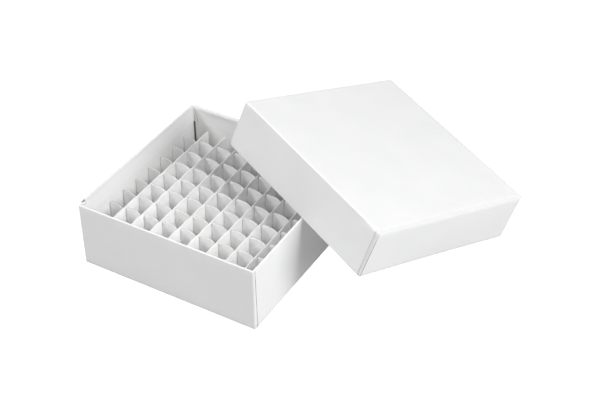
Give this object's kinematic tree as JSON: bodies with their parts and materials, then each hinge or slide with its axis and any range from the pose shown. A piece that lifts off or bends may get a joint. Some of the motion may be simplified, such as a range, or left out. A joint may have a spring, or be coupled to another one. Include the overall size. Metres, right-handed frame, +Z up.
{
  "type": "cryogenic storage box",
  "caption": "Low square white cardboard freezer box: an open tray with a cross-lapped grid divider for tubes, and a lift-off lid that leans on it.",
  "frame": {"origin": "centre of the tray's underside, on the table", "axes": "+Z up; +X to the tray's right-hand side, where the lid's far corner stands on the table; +Y to the tray's rear"},
  "size_m": [0.2358, 0.2186, 0.0944],
  "materials": {
    "laminated_paper": "white paper with a thin satin film laminate",
    "lined_chipboard": "matte white-lined chipboard",
    "stay_paper": "plain brown gummed paper",
    "divider_board": "matte white solid board, bare at its cut edges"
  },
  "bodies": {
    "tray": {"tray_wrap": "laminated_paper", "tray_floor_panel": "lined_chipboard", "tray_right_wall": "lined_chipboard", "tray_rear_wall": "lined_chipboard", "tray_left_wall": "lined_chipboard", "tray_front_wall": "lined_chipboard", "tray_right_rear_stay": "stay_paper", "tray_rear_left_stay": "stay_paper", "tray_left_front_stay": "stay_paper", "tray_front_right_stay": "stay_paper"},
    "divider": {"long_strip_1": "divider_board", "long_strip_2": "divider_board", "long_strip_3": "divider_board", "long_strip_4": "divider_board", "long_strip_5": "divider_board", "long_strip_6": "divider_board", "long_strip_7": "divider_board", "long_strip_8": "divider_board", "cross_strip_1": "divider_board", "cross_strip_2": "divider_board", "cross_strip_3": "divider_board", "cross_strip_4": "divider_board", "cross_strip_5": "divider_board", "cross_strip_6": "divider_board", "cross_strip_7": "divider_board", "cross_strip_8": "divider_board"},
    "lid": {"lid_wrap": "laminated_paper", "lid_top_panel": "lined_chipboard", "lid_right_wall": "lined_chipboard", "lid_front_wall": "lined_chipboard", "lid_left_wall": "lined_chipboard", "lid_rear_wall": "lined_chipboard", "lid_right_front_stay": "stay_paper", "lid_front_left_stay": "stay_paper", "lid_left_rear_stay": "stay_paper", "lid_rear_right_stay": "stay_paper"}
  },
  "joints": [
    {"name": "lid_lift", "type": "slide", "parent": "tray", "child": "lid", "axis": [0, 0, 1], "range_m": [0, 0.12]},
    {"name": "divider_lift", "type": "slide", "parent": "tray", "child": "divider", "axis": [0, 0, 1], "range_m": [0, 0.016]}
  ]
}
